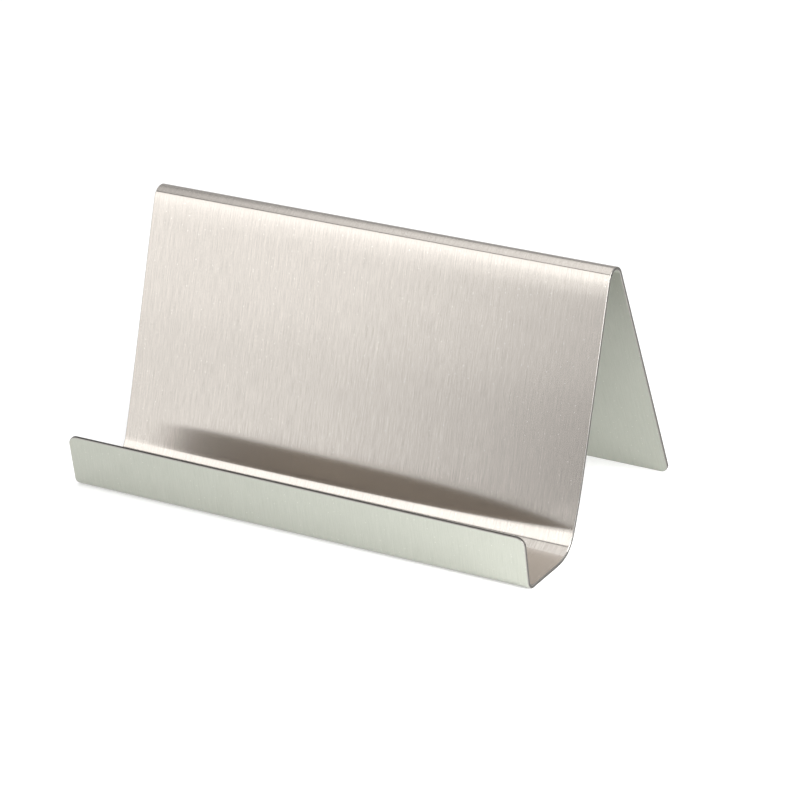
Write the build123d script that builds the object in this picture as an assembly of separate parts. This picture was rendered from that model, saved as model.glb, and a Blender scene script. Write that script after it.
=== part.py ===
from build123d import *
import os
from math import asin, atan2, cos, degrees, radians, sin, tan

# A stand for business cards, folded from one blank of thin stainless sheet.
# Lengths are millimetres and angles are degrees. The front faces -Y, the cards lie across X,
# and the origin is on the table under the middle of the stand.

# Finished size: across the cards, from the lip's root to the rear of the foot along the table,
# and from the table to the top of the fold
overall_width = 90.0
base_depth = 50.0
overall_height = 45.0

# Sheet, the round corners of its blank, and its deburred edges
sheet_thickness = 0.6
corner_radius = 1.6
edge_round = 0.12
edge_round_limit_share = 0.4

# Tray that the cards stand in: inside depth along the shelf, and the lip's top above the table
tray_depth = 14.0
lip_height = 10.0

# Lean from the vertical: the lip opens forward, the back panel leans to the rear
lip_lean = 7.0
back_lean = 18.8

# Inside radii of the three bends
lip_bend_radius = 1.2
tray_bend_radius = 4.0
top_bend_radius = 1.8

# A bend keeps its flat length at this share of the thickness, counted from the inside of the bend
neutral_share = 0.44

# Repetitions that settle the lean of the leg
settling_rounds = 12

# Turns of a square corner and of a straight line
square_turn = 90.0
half_turn = 180.0

edge_radius = min(edge_round, sheet_thickness * edge_round_limit_share)
top_outside_radius = top_bend_radius + sheet_thickness


def rising(lean):
    """Unit direction in the section, (Y, Z), that rises and leans to the rear by an angle."""
    return Vector(sin(radians(lean)), cos(radians(lean)))


def corner_loss(lean):
    """How far the deburred square end of a leaning panel stops short of its sharp corner, across or up."""
    return edge_radius * (cos(radians(lean)) + sin(radians(lean)) - 1)


# The section is drawn along the face that the cards touch: down the lip, over the shelf, up the back
# panel, round the outside of the top bend and down the rear of the leg. Its ends are sharp corners here,
# placed so that the deburred ones reach the finished sizes.
tip_height = lip_height + corner_loss(lip_lean)
lip_overhang = (tip_height - sheet_thickness * sin(radians(lip_lean))) * tan(radians(lip_lean))
overall_depth = base_depth + lip_overhang - corner_loss(lip_lean)
front = -overall_depth / 2 - corner_loss(lip_lean)
lip_tip = Vector(front + sheet_thickness * cos(radians(lip_lean)), tip_height)
lip_root = lip_tip - rising(-lip_lean) * ((tip_height - sheet_thickness) / cos(radians(lip_lean)))
back_root = lip_root + Vector(tray_depth, 0)

# The top bend's centre lies one outside radius behind the back panel's face and below the finished height
rearward = Vector(cos(radians(back_lean)), -sin(radians(back_lean)))
centre_height = overall_height - top_outside_radius
back_run = (centre_height - back_root.Y - top_outside_radius * rearward.Y) / cos(radians(back_lean))
top_centre = back_root + rising(back_lean) * back_run + rearward * top_outside_radius

# The leg is cut square, so it stands on its inner edge with its rear edge a little raised. The lean
# that lets the rear face touch the top bend also raises that edge, so both are settled together.
leg_lean = back_lean
for _ in range(settling_rounds):
    foot_height = sheet_thickness * sin(radians(leg_lean)) - corner_loss(leg_lean)
    foot = Vector(overall_depth / 2 + corner_loss(leg_lean), foot_height)
    to_centre = top_centre - foot
    leg_lean = degrees(atan2(-to_centre.X, to_centre.Y) - asin(top_outside_radius / to_centre.length))

# The back panel's face and the leg's rear face, carried on past the bend, meet at the crest
back_slope = tan(radians(back_lean))
leg_slope = tan(radians(leg_lean))
spread = foot.X - back_root.X - (foot.Y - back_root.Y) * back_slope
crest = foot + rising(-leg_lean) * (spread / (back_slope + leg_slope) / cos(radians(leg_lean)))

with BuildPart() as stand:
    with BuildSketch(Plane.YZ):
        with BuildLine():
            card_face = FilletPolyline(
                lip_tip,
                lip_root,
                back_root,
                crest,
                foot,
                radius=[lip_bend_radius, tray_bend_radius, top_outside_radius],
            )
            offset(amount=sheet_thickness, side=Side.RIGHT)
        make_face()
    extrude(amount=overall_width / 2, both=True)

    # The blank's corners are round at the lip's top and at the foot: before that, the four edges there
    # are the sheet's shortest, one thickness long
    blank_corners = stand.edges().group_by(SortBy.LENGTH)[0]
    fillet(blank_corners, radius=corner_radius)

    # The rim is deburred all round: all edges but the bend lines, which cross the whole width,
    # and the short lines across the thickness where the round corners start and end
    bend_lines = stand.edges().filter_by(Axis.X).group_by(SortBy.LENGTH)[-1]
    corner_lines = stand.edges().group_by(SortBy.LENGTH)[0]
    fillet(stand.edges() - bend_lines - corner_lines, radius=edge_radius)

stand.part.label = "folded_sheet"
os.makedirs("parts", exist_ok=True)
export_step(stand.part, "parts/folded_sheet.step")

# The flat blank before folding: the straight runs and the bends' neutral lines, end to end
bend_turns = [square_turn - lip_lean, square_turn - back_lean, half_turn - back_lean - leg_lean]
inside_radii = [lip_bend_radius, tray_bend_radius, top_bend_radius]
straight_length = sum(run.length for run in card_face.edges().filter_by(GeomType.LINE))
bend_length = sum(
    radians(turn) * (radius + neutral_share * sheet_thickness) for turn, radius in zip(bend_turns, inside_radii)
)
print(f"Flat blank {overall_width:.1f} x {straight_length + bend_length:.1f} mm, leg leans {leg_lean:.1f} degrees")
print(f"Finished stand {stand.part.bounding_box().size}")
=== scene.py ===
from math import cos, pi, radians, sin

import bpy
import numpy as np
from mathutils import Matrix, Vector


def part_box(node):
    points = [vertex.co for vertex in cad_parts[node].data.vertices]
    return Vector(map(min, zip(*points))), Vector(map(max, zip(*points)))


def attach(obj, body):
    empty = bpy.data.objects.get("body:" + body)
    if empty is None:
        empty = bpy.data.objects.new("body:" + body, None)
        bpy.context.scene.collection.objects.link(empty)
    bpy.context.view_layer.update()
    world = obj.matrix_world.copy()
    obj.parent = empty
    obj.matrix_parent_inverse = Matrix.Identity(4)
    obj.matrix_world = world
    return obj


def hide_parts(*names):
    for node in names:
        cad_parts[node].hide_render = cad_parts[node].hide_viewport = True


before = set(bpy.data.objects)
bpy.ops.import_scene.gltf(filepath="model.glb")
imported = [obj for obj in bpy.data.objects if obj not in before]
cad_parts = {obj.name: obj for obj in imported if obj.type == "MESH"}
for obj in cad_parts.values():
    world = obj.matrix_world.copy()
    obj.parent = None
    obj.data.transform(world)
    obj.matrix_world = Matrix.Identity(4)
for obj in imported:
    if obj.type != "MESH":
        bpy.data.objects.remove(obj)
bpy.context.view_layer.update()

# The folded sheet. One blank of thin stainless steel, brushed along its length, cut with round corners and
# deburred, then folded three times on a press brake into the lip, the shelf, the back panel and the leg.
# It is the whole stand, and it rests on the shelf's underside and the leg's cut edge.
mm = 0.001
sheet_low, sheet_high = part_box("folded_sheet")
half_width = (sheet_high.x - sheet_low.x) / 2
thickness = 0.6 * mm
corner_radius = 1.6 * mm
edge_round = 0.12 * mm

# Fold table from the lip's top to the foot, in the middle of the thickness: the lip, the shelf, the back
# panel and the leg as long as they would be between sharp corners, the turns between them, and the way the
# lip points
panel_lengths = np.array([9.7498, 14.4802, 51.2310, 52.1050]) * mm
bend_turns = np.radians([83.0, 71.2, -140.4129])
lip_heading = radians(-83.0)

# Bends at the lip, in the tray and at the top: their whole length, and where the middle of the core lies in
# it. The core takes most of the turn, evenly for its even share, and the tail, a share of the turn, is spread
# over the whole length. The tray bend is pressed less sharply towards the right end, where its core is longer
# and its tail larger.
bend_spans = np.array([4.0, 25.6, 11.5]) * mm
core_middles = np.array([0.5, 0.243, 0.696])
even_shares = np.array([1.0, 0.5, 1.0])
left_cores, right_cores = np.array([[2.2, 5.65, 4.9], [2.2, 8.07, 4.9]]) * mm
left_tails, right_tails = np.array([[0.05, 0.025, 0.045], [0.05, 0.116, 0.045]])
core_growth, tail_growth = 3.17, 4.73

# Rows along the blank over its flat runs and bends in turn, steps round a corner and over a rim, columns
# across the blank, and samples of a bend's turn
row_counts = [4, 24, 6, 110, 12, 60, 20]
corner_steps = 10
rim_steps = 4
column_count = 41
turn_samples = 1000

column = np.linspace(-1.0, 1.0, column_count)
from_left = (column + 1) / 2
cores = left_cores[:, None] + (right_cores - left_cores)[:, None] * from_left ** core_growth
tails = left_tails[:, None] + (right_tails - left_tails)[:, None] * from_left ** tail_growth


def ease(place):
    """Share of a turn that is done at a share of its length, for a curvature that swells and fades as a
    raised cosine."""
    return place - np.sin(2 * pi * place) / (2 * pi)


def turned_in(bend, place):
    """Angle turned in a bend at shares of its length, for every column: the core's part, which is even for
    its even share and eased for the rest, and the tail's part, which is eased."""
    from_core_middle = (place[:, None] - core_middles[bend]) * bend_spans[bend] / cores[bend]
    in_core = np.clip(from_core_middle + 0.5, 0.0, 1.0)
    core_share = even_shares[bend] * in_core + (1 - even_shares[bend]) * ease(in_core)
    return bend_turns[bend] * ((1 - tails[bend]) * core_share + tails[bend] * ease(place)[:, None])


def cut_back(bend):
    """Lengths that a bend takes from the panels before and after its sharp corner, for every column: the way
    from the bend's start to its end, split into the directions of the two panels."""
    turned = turned_in(bend, (np.arange(turn_samples) + 0.5) / turn_samples)
    after = bend_spans[bend] * np.sin(turned).mean(axis=0) / sin(bend_turns[bend])
    before = bend_spans[bend] * np.cos(turned).mean(axis=0) - after * cos(bend_turns[bend])
    return before, after


def quads(index):
    """Corner numbers of the four-sided faces of a grid of point numbers: each point, the next one in its row
    and the two across from them in the next row, taken round the face."""
    corners = [index[:-1, :-1], index[:-1, 1:], index[1:, 1:], index[1:, :-1]]
    return np.stack(corners, axis=-1).reshape(-1, 4)


# Lengths of the flat runs and bends in every column, and the lines between them
stretches = np.zeros((len(row_counts), column_count))
stretches[0::2] = panel_lengths[:, None]
stretches[1::2] = bend_spans[:, None]
for bend in range(len(bend_turns)):
    before, after = cut_back(bend)
    stretches[2 * bend] -= before
    stretches[2 * bend + 2] -= after
first_row = np.zeros((1, column_count))
fold_lines = np.concatenate([first_row, np.cumsum(stretches, axis=0)])

# Each row has its place along the sheet and its heading in every column, and the way the outline turns there:
# 0 at the lip's top edge, a quarter turn along the sides and a half turn at the foot
inset_radius = corner_radius - edge_round
quarter = np.linspace(0.0, pi / 2, corner_steps + 1)
starts, ends = fold_lines[:-1].copy(), fold_lines[1:].copy()
starts[0] = corner_radius
ends[-1] -= corner_radius
places = [starts[:1] - inset_radius * np.cos(quarter[:, None])]
headings = [np.full((corner_steps + 1, column_count), lip_heading)]
for part, count in enumerate(row_counts):
    steps = np.arange(1, count + 1) / count
    places.append(starts[part] + steps[:, None] * (ends - starts)[part])
    turned = turned_in(part // 2, steps) if part % 2 else np.zeros((count, column_count))
    headings.append(lip_heading + bend_turns[:part // 2].sum() + turned)
places.append(ends[-1:] + inset_radius * np.sin(quarter[1:, None]))
headings.append(np.repeat(headings[-1][-1:], corner_steps, axis=0))
place, heading = np.concatenate(places), np.concatenate(headings)
row_turn = np.concatenate([quarter, np.full(sum(row_counts), pi / 2), pi / 2 + quarter[1:]])

# Middle surface of the folded sheet: each step between rows is the chord of an arc, its length times the sinc
# of half its turn, in the mean of the two headings
chord = np.diff(place, axis=0) * np.sinc(np.diff(heading, axis=0) / 2 / pi)
mean_heading = (heading[:-1] + heading[1:]) / 2
middle_y = np.concatenate([first_row, np.cumsum(chord * np.cos(mean_heading), axis=0)])
middle_z = np.concatenate([first_row, np.cumsum(chord * np.sin(mean_heading), axis=0)])
row_half = half_width - corner_radius + inset_radius * np.sin(row_turn)
across = row_half[:, None] * column
middle = np.stack([across, middle_y, middle_z], axis=-1)
onward = np.stack([np.zeros_like(heading), np.cos(heading), np.sin(heading)], axis=-1)
outward = np.stack([np.zeros_like(heading), -np.sin(heading), np.cos(heading)], axis=-1)

# The way the card face looks: square to the heading, and leaning sideways where the tray bend opens to the
# right, by the middle surface's rise along that way over its step across
face_normal = outward.copy()
face_normal[..., 0] = -(np.gradient(middle, axis=1) * outward).sum(axis=-1) / np.gradient(across, axis=1)
face_normal = face_normal.reshape(-1, 3)

# The rim: the outline of the faces, anticlockwise from the lip's left corner, with a profile round its edge
# that is a quarter circle, the flat cut, and a quarter circle on to the other face
grid = np.arange(across.size).reshape(across.shape)
border = np.concatenate([grid[0, :-1], grid[:-1, -1], grid[-1, :0:-1], grid[:0:-1, 0]])
border_turn = row_turn[border // column_count]
border_across, border_place = across.ravel()[border], place.ravel()[border]
sideways = (np.sign(border_across) * np.sin(border_turn))[:, None] * np.array([1.0, 0.0, 0.0])
rim_out = sideways - np.cos(border_turn)[:, None] * onward.reshape(-1, 3)[border]
rim_up = outward.reshape(-1, 3)[border]
bow = np.linspace(0.0, pi / 2, rim_steps + 1)
facing_out = np.concatenate([np.sin(bow), np.cos(bow)])
facing_up = np.concatenate([np.cos(bow), -np.sin(bow)])
flat_half = thickness / 2 - edge_round
profile_out = edge_round * facing_out
profile_up = edge_round * facing_up + np.repeat([flat_half, -flat_half], rim_steps + 1)
inner = slice(1, -1)


def round_rim(out_parts, up_parts):
    """Sums of the rim's two directions, with the parts of each at every inner step of the profile."""
    return rim_out[:, None] * out_parts[inner, None] + rim_up[:, None] * up_parts[inner, None]


rim_points = middle.reshape(-1, 3)[border][:, None] + round_rim(profile_out, profile_up)
points = np.concatenate([
    (middle + thickness / 2 * outward).reshape(-1, 3),
    (middle - thickness / 2 * outward).reshape(-1, 3),
    rim_points.reshape(-1, 3),
])
facing = np.concatenate([face_normal, -face_normal, round_rim(facing_out, facing_up).reshape(-1, 3)])
points[:, 1] += sheet_low.y - points[:, 1].min()
points[:, 2] += sheet_low.z - points[:, 2].min()

ring = np.zeros((len(border) + 1, len(profile_out)), int)
ring[:-1, 0] = border
ring[:-1, -1] = border + grid.size
ring[:-1, inner] = 2 * grid.size + np.arange(rim_points[..., 0].size).reshape(rim_points.shape[:2])
ring[-1] = ring[0]
card_quads = quads(grid)
reverse_quads = card_quads[:, ::-1] + grid.size
rim_quads = quads(ring)

# The blank's own coordinates in millimetres, which the grain follows: across and along on the two faces, set
# apart from each other, and on the rim the way round the outline and over the edge
reverse_shift, rim_shift = 200.0, 400.0
card_flat = np.stack([across, place], axis=-1).reshape(-1, 2) / mm
reverse_flat = card_flat + np.array([reverse_shift, 0.0])
step_across = np.diff(border_across, append=border_across[:1])
step_along = np.diff(border_place, append=border_place[:1])
along_rim = np.concatenate([[0.0], np.cumsum(np.hypot(step_across, step_along))]) / mm
over_edge = np.concatenate([[0.0], np.cumsum(np.hypot(np.diff(profile_out), np.diff(profile_up)))]) / mm
rim_flat = np.stack(np.broadcast_arrays(along_rim[:, None] + rim_shift, over_edge), axis=-1).reshape(-1, 2)
rim_corners = quads(np.arange(ring.size).reshape(ring.shape))
flat_map = np.concatenate([
    card_flat[card_quads],
    reverse_flat[reverse_quads - grid.size],
    rim_flat[rim_corners],
])

sheet_mesh = bpy.data.meshes.new("bent_sheet")
sheet_mesh.from_pydata(points, [], np.concatenate([card_quads, reverse_quads, rim_quads]))
sheet_mesh.uv_layers.new(name="blank_mm").data.foreach_set("uv", flat_map.ravel().astype(np.float32))
finish_index = np.repeat([0, 1, 2], [len(card_quads), len(reverse_quads), len(rim_quads)])
sheet_mesh.polygons.foreach_set("material_index", finish_index.astype(np.int32))
sheet_mesh.polygons.foreach_set("use_smooth", np.ones(len(finish_index), bool))
sheet_mesh.normals_split_custom_set_from_vertices(facing)
bent_sheet = bpy.data.objects.new("bent_sheet", sheet_mesh)
bpy.context.scene.collection.objects.link(bent_sheet)


def new_material(name):
    """An empty node material, with its tree."""
    material = bpy.data.materials.new(name)
    material.use_nodes = True
    material.node_tree.nodes.clear()
    return material, material.node_tree


def add(tree, kind, **settings):
    """Adds a node. Settings that name an input socket fill it, and the rest are the node's own properties."""
    node = tree.nodes.new(kind)
    for name, value in settings.items():
        socket = node.inputs.get(name.replace("_", " "))
        if socket is not None:
            socket.default_value = value
        else:
            setattr(node, name, value)
    return node


def feed(tree, value, socket):
    """Links a socket to an input, or sets the input to a plain value."""
    if isinstance(value, bpy.types.NodeSocket):
        tree.links.new(value, socket)
    else:
        socket.default_value = value


def reckon(tree, operation, first, second=0.0):
    """One operation, such as a sum or a product, on two sockets or numbers. Returns its output."""
    node = add(tree, "ShaderNodeMath", operation=operation)
    feed(tree, first, node.inputs[0])
    feed(tree, second, node.inputs[1])
    return node.outputs[0]


def spread(tree, value, low, high, new_low=0.0, new_high=1.0):
    """Maps a value from one range to another, held at its ends. Returns its output."""
    limits = {"From_Min": low, "From_Max": high, "To_Min": new_low, "To_Max": new_high}
    node = add(tree, "ShaderNodeMapRange", clamp=True, **limits)
    tree.links.new(value, node.inputs["Value"])
    return node.outputs["Result"]


def blend_colour(tree, share, first, second):
    """Mixes two colours, sockets or values with alpha, by a share. Returns the output."""
    node = add(tree, "ShaderNodeMix", data_type="RGBA")
    tree.links.new(share, node.inputs["Factor"])
    first_socket, second_socket = [socket for socket in node.inputs if socket.type == "RGBA"]
    feed(tree, first, first_socket)
    feed(tree, second, second_socket)
    return next(socket for socket in node.outputs if socket.type == "RGBA")


def weigh(tree, values, weights):
    """Sum of values times their weights."""
    total = reckon(tree, "MULTIPLY", values[0], weights[0])
    for value, weight in zip(values[1:], weights[1:]):
        total = reckon(tree, "ADD", total, reckon(tree, "MULTIPLY", value, weight))
    return total


# Grain group: lines left by the abrasive belt, much longer than wide, as noise on the blank's coordinates
# stretched along the sheet. Lines comes out from 0 to 1, over the middle range of the noise.
grain_low, grain_high = 0.25, 0.75
grain = bpy.data.node_groups.new("belt_grain", "ShaderNodeTree")
grain.interface.new_socket("Blank", in_out="INPUT", socket_type="NodeSocketVector")
grain.interface.new_socket("Line Width", in_out="INPUT", socket_type="NodeSocketFloat")
grain.interface.new_socket("Line Length", in_out="INPUT", socket_type="NodeSocketFloat")
grain.interface.new_socket("Lines", in_out="OUTPUT", socket_type="NodeSocketFloat")
grain_in = grain.nodes.new("NodeGroupInput")
grain_out = grain.nodes.new("NodeGroupOutput")
grain_split = grain.nodes.new("ShaderNodeSeparateXYZ")
grain.links.new(grain_in.outputs["Blank"], grain_split.inputs[0])
widths_across = reckon(grain, "DIVIDE", grain_split.outputs["X"], grain_in.outputs["Line Width"])
lengths_along = reckon(grain, "DIVIDE", grain_split.outputs["Y"], grain_in.outputs["Line Length"])
grain_join = grain.nodes.new("ShaderNodeCombineXYZ")
grain.links.new(widths_across, grain_join.inputs["X"])
grain.links.new(lengths_along, grain_join.inputs["Y"])
grain_noise = add(grain, "ShaderNodeTexNoise", noise_dimensions="2D", Scale=1.0, Detail=2.0, Roughness=0.5)
grain.links.new(grain_join.outputs[0], grain_noise.inputs["Vector"])
grain_lines = spread(grain, grain_noise.outputs["Fac"], grain_low, grain_high)
grain.links.new(grain_lines, grain_out.inputs["Lines"])

# Marks group: soft clouds from handling, and small pits and dust left in the finish, each a spot in its own
# cell. Some of the cells are bare. Spots and their soft borders are shares of the spacing.
cloud_low, cloud_high = 0.3, 0.7
bare_cells, largest_spot, soft_border = 0.5, 0.09, 0.03
marks = bpy.data.node_groups.new("handling_marks", "ShaderNodeTree")
marks.interface.new_socket("Blank", in_out="INPUT", socket_type="NodeSocketVector")
marks.interface.new_socket("Spot Spacing", in_out="INPUT", socket_type="NodeSocketFloat")
marks.interface.new_socket("Clouds", in_out="OUTPUT", socket_type="NodeSocketFloat")
marks.interface.new_socket("Spots", in_out="OUTPUT", socket_type="NodeSocketFloat")
marks_in = marks.nodes.new("NodeGroupInput")
marks_out = marks.nodes.new("NodeGroupOutput")
cloud_noise = add(marks, "ShaderNodeTexNoise", noise_dimensions="2D", Scale=0.09, Detail=2.0, Roughness=0.5)
marks.links.new(marks_in.outputs["Blank"], cloud_noise.inputs["Vector"])
clouds = spread(marks, cloud_noise.outputs["Fac"], cloud_low, cloud_high)
marks.links.new(clouds, marks_out.inputs["Clouds"])
cells = add(marks, "ShaderNodeTexVoronoi", voronoi_dimensions="2D", feature="F1")
marks.links.new(marks_in.outputs["Blank"], cells.inputs["Vector"])
cells_per_mm = reckon(marks, "DIVIDE", 1.0, marks_in.outputs["Spot Spacing"])
marks.links.new(cells_per_mm, cells.inputs["Scale"])
cell_split = marks.nodes.new("ShaderNodeSeparateColor")
marks.links.new(cells.outputs["Color"], cell_split.inputs[0])
spot_size = spread(marks, cell_split.outputs["Red"], bare_cells, 1.0, 0.0, largest_spot)
inside_spot = reckon(marks, "SUBTRACT", spot_size, cells.outputs["Distance"])
marks.links.new(spread(marks, inside_spot, 0.0, soft_border), marks_out.inputs["Spots"])


def place_group(tree, group, vector, **values):
    """Puts a shared group into a material, on the blank's coordinates and with the material's own values."""
    node = tree.nodes.new("ShaderNodeGroup")
    node.node_tree = group
    tree.links.new(vector, node.inputs["Blank"])
    for name, value in values.items():
        node.inputs[name.replace("_", " ")].default_value = value
    return node


# Shares of the fine, medium and grit lines in the grain, and of the grain, the broad bands and the clouds in
# the tone, how much of a spot's colour shows, and how far the roughness goes up and down with the tone
line_shares = [0.5, 0.25, 0.25]
tone_shares = [0.9, 0.05, 0.05]
spot_strength = 0.8
roughness_swing = 0.03


def brushed_face(name, dark, light, spot_colour, roughness, anisotropy, line_height):
    """Brushed stainless steel: colour and roughness follow the belt's lines and the clouds, spots are
    lighter, and the lines are also relief. The gloss is drawn out across the lines. Line widths, line lengths
    and the spots' spacing are millimetres, and the height of the relief is metres."""
    material, tree = new_material(name)
    flat = add(tree, "ShaderNodeUVMap", uv_map="blank_mm").outputs[0]
    fine = place_group(tree, grain, flat, Line_Width=0.13, Line_Length=3.0).outputs["Lines"]
    medium = place_group(tree, grain, flat, Line_Width=0.2, Line_Length=14.0).outputs["Lines"]
    grit = place_group(tree, grain, flat, Line_Width=0.15, Line_Length=0.4).outputs["Lines"]
    broad = place_group(tree, grain, flat, Line_Width=3.4, Line_Length=90.0).outputs["Lines"]
    marked = place_group(tree, marks, flat, Spot_Spacing=1.2)
    lines = weigh(tree, [fine, medium, grit], line_shares)
    tone = weigh(tree, [lines, broad, marked.outputs["Clouds"]], tone_shares)
    colour = blend_colour(tree, tone, dark, light)
    spot_share = reckon(tree, "MULTIPLY", marked.outputs["Spots"], spot_strength)
    spotted = blend_colour(tree, spot_share, colour, spot_colour)
    rough = spread(tree, tone, 0.0, 1.0, roughness + roughness_swing, roughness - roughness_swing)
    bump = add(tree, "ShaderNodeBump", Strength=1.0, Distance=line_height)
    tree.links.new(lines, bump.inputs["Height"])
    tangent = add(tree, "ShaderNodeTangent", direction_type="UV_MAP", uv_map="blank_mm")
    steel = add(tree, "ShaderNodeBsdfPrincipled", Metallic=1.0, Anisotropic=anisotropy)
    tree.links.new(spotted, steel.inputs["Base Color"])
    tree.links.new(rough, steel.inputs["Roughness"])
    tree.links.new(bump.outputs[0], steel.inputs["Normal"])
    tree.links.new(tangent.outputs[0], steel.inputs["Tangent"])
    out = tree.nodes.new("ShaderNodeOutputMaterial")
    tree.links.new(steel.outputs[0], out.inputs["Surface"])
    return material


# The face that the cards touch has the belt finish; the reverse keeps the mill's duller, greener surface
card_face = brushed_face(
    "card_face_brushed",
    dark=(0.465, 0.434, 0.4, 1.0),
    light=(0.625, 0.583, 0.538, 1.0),
    spot_colour=(0.78, 0.76, 0.72, 1.0),
    roughness=0.195,
    anisotropy=1.0,
    line_height=0.7e-6,
)
reverse_face = brushed_face(
    "reverse_face_mill",
    dark=(0.392, 0.404, 0.355, 1.0),
    light=(0.478, 0.491, 0.437, 1.0),
    spot_colour=(0.62, 0.63, 0.57, 1.0),
    roughness=0.30,
    anisotropy=0.8,
    line_height=1.2e-6,
)

# The cut edge is rough, with fine lines across the thickness from the cut, and its near-black colour is
# painted shade, far darker than the steel, that keeps the thin edge dark. The deburred rounds on both sides
# of it are bare and bright, and start and are full at these millimetres from its middle.
# Painted shade: both tones of the cut are near black, darker than its steel, so the thin edge shows dark
cut_painted_shade_dark, cut_painted_shade_light = (0.07, 0.067, 0.061, 1.0), (0.12, 0.115, 0.106, 1.0)
round_bright = (0.32, 0.307, 0.289, 1.0)
round_start, round_full = 0.17, 0.25
flat_roughness, round_roughness, line_roughness = 0.46, 0.28, 0.08
edge_middle = float(over_edge[-1] / 2)
cut_edge, cut_tree = new_material("cut_edge")
cut_flat = add(cut_tree, "ShaderNodeUVMap", uv_map="blank_mm").outputs[0]
cut_lines = place_group(cut_tree, grain, cut_flat, Line_Width=0.14, Line_Length=2.0).outputs["Lines"]
cut_split = cut_tree.nodes.new("ShaderNodeSeparateXYZ")
cut_tree.links.new(cut_flat, cut_split.inputs[0])
past_middle = reckon(cut_tree, "SUBTRACT", cut_split.outputs["Y"], edge_middle)
from_middle = reckon(cut_tree, "ABSOLUTE", past_middle)
rounded = spread(cut_tree, from_middle, round_start, round_full)
# The cut's colour, between its two painted-shade tones by its fine lines, then the rounds beside it
cut_painted_shade_colour = blend_colour(cut_tree, cut_lines, cut_painted_shade_dark, cut_painted_shade_light)
rim_colour_with_painted_shade = blend_colour(cut_tree, rounded, cut_painted_shade_colour, round_bright)
plain_rough = spread(cut_tree, rounded, 0.0, 1.0, flat_roughness, round_roughness)
cut_rough = reckon(cut_tree, "ADD", plain_rough, reckon(cut_tree, "MULTIPLY", cut_lines, line_roughness))
cut_bump = add(cut_tree, "ShaderNodeBump", Strength=1.0, Distance=4.0e-6)
cut_tree.links.new(cut_lines, cut_bump.inputs["Height"])
cut_steel = add(cut_tree, "ShaderNodeBsdfPrincipled", Metallic=1.0)
cut_tree.links.new(rim_colour_with_painted_shade, cut_steel.inputs["Base Color"])
cut_tree.links.new(cut_rough, cut_steel.inputs["Roughness"])
cut_tree.links.new(cut_bump.outputs[0], cut_steel.inputs["Normal"])
cut_out = cut_tree.nodes.new("ShaderNodeOutputMaterial")
cut_tree.links.new(cut_steel.outputs[0], cut_out.inputs["Surface"])

for finish in (card_face, reverse_face, cut_edge):
    sheet_mesh.materials.append(finish)
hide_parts("folded_sheet")
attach(bent_sheet, "root")

# The floor: a wide white table top, one flat disc. What shows of it is a pale diffuse surface that takes the
# stand's shadow, raised to white for the camera and for reflections.
floor_radius = 3.0
floor_sides = 64
floor_pale = (0.7, 0.7, 0.7, 1.0)
floor_lift = 0.38
floor_turn = np.linspace(0.0, 2 * pi, floor_sides, endpoint=False)
floor_ring = np.stack([np.cos(floor_turn), np.sin(floor_turn), np.zeros(floor_sides)], axis=-1) * floor_radius
floor_mesh = bpy.data.meshes.new("floor")
floor_mesh.from_pydata(floor_ring, [], [list(range(floor_sides))])
floor = bpy.data.objects.new("floor", floor_mesh)
bpy.context.scene.collection.objects.link(floor)
floor_paint, floor_tree = new_material("floor_white")
floor_diffuse = add(floor_tree, "ShaderNodeBsdfDiffuse", Color=floor_pale)
floor_glow = add(floor_tree, "ShaderNodeEmission", Color=(1.0, 1.0, 1.0, 1.0))
ray = floor_tree.nodes.new("ShaderNodeLightPath")
mirrored = reckon(floor_tree, "MAXIMUM", ray.outputs["Is Glossy Ray"], ray.outputs["Is Transmission Ray"])
seen = reckon(floor_tree, "MAXIMUM", ray.outputs["Is Camera Ray"], mirrored)
floor_tree.links.new(reckon(floor_tree, "MULTIPLY", seen, floor_lift), floor_glow.inputs["Strength"])
floor_sum = floor_tree.nodes.new("ShaderNodeAddShader")
floor_tree.links.new(floor_diffuse.outputs[0], floor_sum.inputs[0])
floor_tree.links.new(floor_glow.outputs[0], floor_sum.inputs[1])
floor_out = floor_tree.nodes.new("ShaderNodeOutputMaterial")
floor_tree.links.new(floor_sum.outputs[0], floor_out.inputs["Surface"])
floor_mesh.materials.append(floor_paint)

# Studio light: a soft grey room, a tall softbox in front to the left with four reflector slats below it, a
# large panel overhead, a dim wall and a soft lamp behind, and two fills on the right that light the table
# beside the lip and under the fold.
room_strength = 0.32
world = bpy.data.worlds.new("studio")
bpy.context.scene.world = world
world.use_nodes = True
room = world.node_tree.nodes["Background"]
room.inputs["Color"].default_value = (1.0, 1.0, 1.0, 1.0)
room.inputs["Strength"].default_value = room_strength


def softbox(name, centre, right, up, width, height, radiance):
    """A flat rectangular lamp with its centre, the directions of its sides, and the brightness of its face.
    It faces against right cross up, and its power is that brightness times pi times its area."""
    data = bpy.data.lights.new(name, "AREA")
    data.shape = "RECTANGLE"
    data.size, data.size_y = width, height
    data.energy = radiance * pi * width * height
    lamp = bpy.data.objects.new(name, data)
    right = Vector(right).normalized()
    up = (Vector(up) - right * Vector(up).dot(right)).normalized()
    turned = Matrix((right, up, right.cross(up))).transposed().to_4x4()
    lamp.matrix_world = Matrix.Translation(Vector(centre)) @ turned
    lamp.visible_camera = False
    bpy.context.scene.collection.objects.link(lamp)


to_left, to_right = (-1.0, 0.0, 0.0), (1.0, 0.0, 0.0)
to_rear, upward = (0.0, 1.0, 0.0), (0.0, 0.0, 1.0)
front_plane = -0.25
softbox(
    "front_softbox", centre=(-0.275, front_plane, 0.2975), right=to_right, up=upward,
    width=0.65, height=0.355, radiance=1.68)

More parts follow.
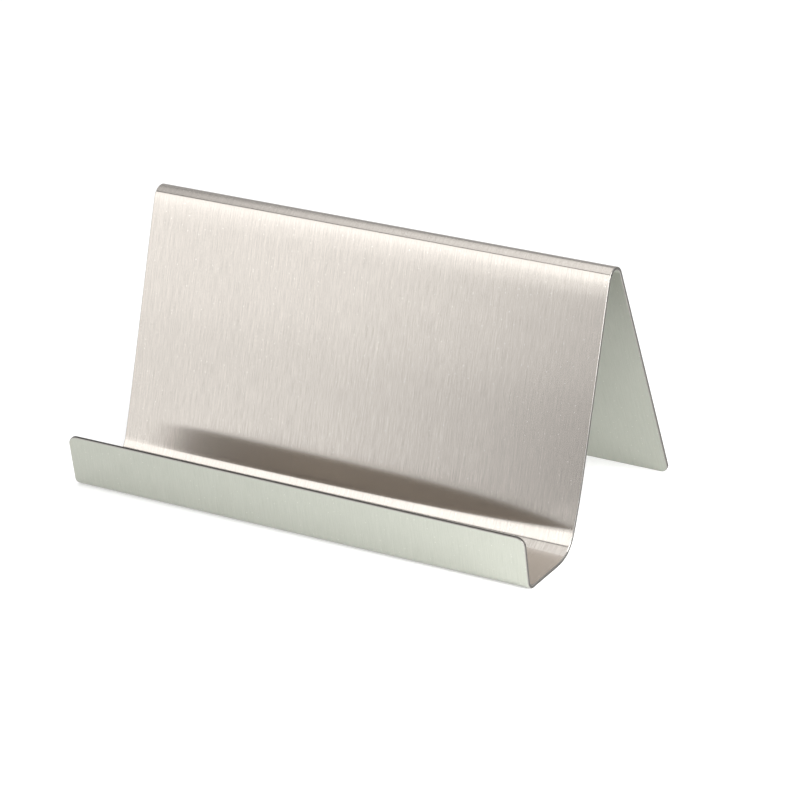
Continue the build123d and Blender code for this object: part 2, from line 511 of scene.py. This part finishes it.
# The slats hang in the softbox's plane, from the table up, with one left end and a right end each
slat_left = -0.60
slat_rights = [-0.11, -0.093, -0.088, -0.06]
slat_borders = [0.0, 0.035, 0.07, 0.10, 0.12]
slat_levels = [1.15, 1.13, 1.3, 1.46]
for number, (edge, level) in enumerate(zip(slat_rights, slat_levels)):
    low, high = slat_borders[number:number + 2]
    softbox(
        f"reflector_{number}", centre=((slat_left + edge) / 2, front_plane, (low + high) / 2), right=to_right,
        up=upward, width=edge - slat_left, height=high - low, radiance=level)
softbox(
    "overhead_panel", centre=(-0.02, 0.1325, 0.55), right=to_right, up=to_rear,
    width=0.64, height=0.735, radiance=1.28)
softbox(
    "rear_lamp", centre=(0.35, 0.35, 0.35), right=(1.0, -1.0, 0.0), up=(-0.5, -0.5, 1.0),
    width=0.5, height=0.4, radiance=0.5)
softbox(
    "right_fill", centre=(0.30, 0.0, 0.12), right=to_rear, up=upward,
    width=0.14, height=0.1, radiance=24.0)
softbox(
    "front_right_fill", centre=(0.105, -0.055, 0.053), right=(0.359, 0.933, 0.0), up=(-0.57, 0.219, 0.792),
    width=0.06, height=0.05, radiance=9.3)
softbox(
    "back_wall", centre=(0.0, 0.6, 0.3), right=to_left, up=upward,
    width=1.2, height=0.6, radiance=0.25)

# Camera: a long lens from the front right, a little above, fitted to the photograph. It stands back from the
# focus, slid a little sideways and down, and is rolled slightly.
view_turn, view_rise, view_roll = radians(31.963), radians(24.35), radians(-2.547)
focus = Vector((0.0, 0.603, 20.0)) * mm
slide_right, slide_up, distance = 5.438 * mm, -4.868 * mm, 615.93 * mm
sensor_width, lens_length = 36.0, 162.24
nearest_seen, farthest_seen = 0.01, 20.0
back = Vector((sin(view_turn) * cos(view_rise), -cos(view_turn) * cos(view_rise), sin(view_rise)))
right = Vector((cos(view_turn), sin(view_turn), 0.0))
up = back.cross(right)
rolled_right = cos(view_roll) * right + sin(view_roll) * up
rolled_up = cos(view_roll) * up - sin(view_roll) * right
camera_data = bpy.data.cameras.new("camera")
camera_data.sensor_width, camera_data.lens = sensor_width, lens_length
camera_data.clip_start, camera_data.clip_end = nearest_seen, farthest_seen
camera = bpy.data.objects.new("camera", camera_data)
camera_place = focus + right * slide_right + up * slide_up + back * distance
camera_axes = Matrix((rolled_right, rolled_up, back)).transposed().to_4x4()
camera.matrix_world = Matrix.Translation(camera_place) @ camera_axes
bpy.context.scene.collection.objects.link(camera)
bpy.context.scene.camera = camera
bpy.context.scene.view_settings.view_transform = "Standard"
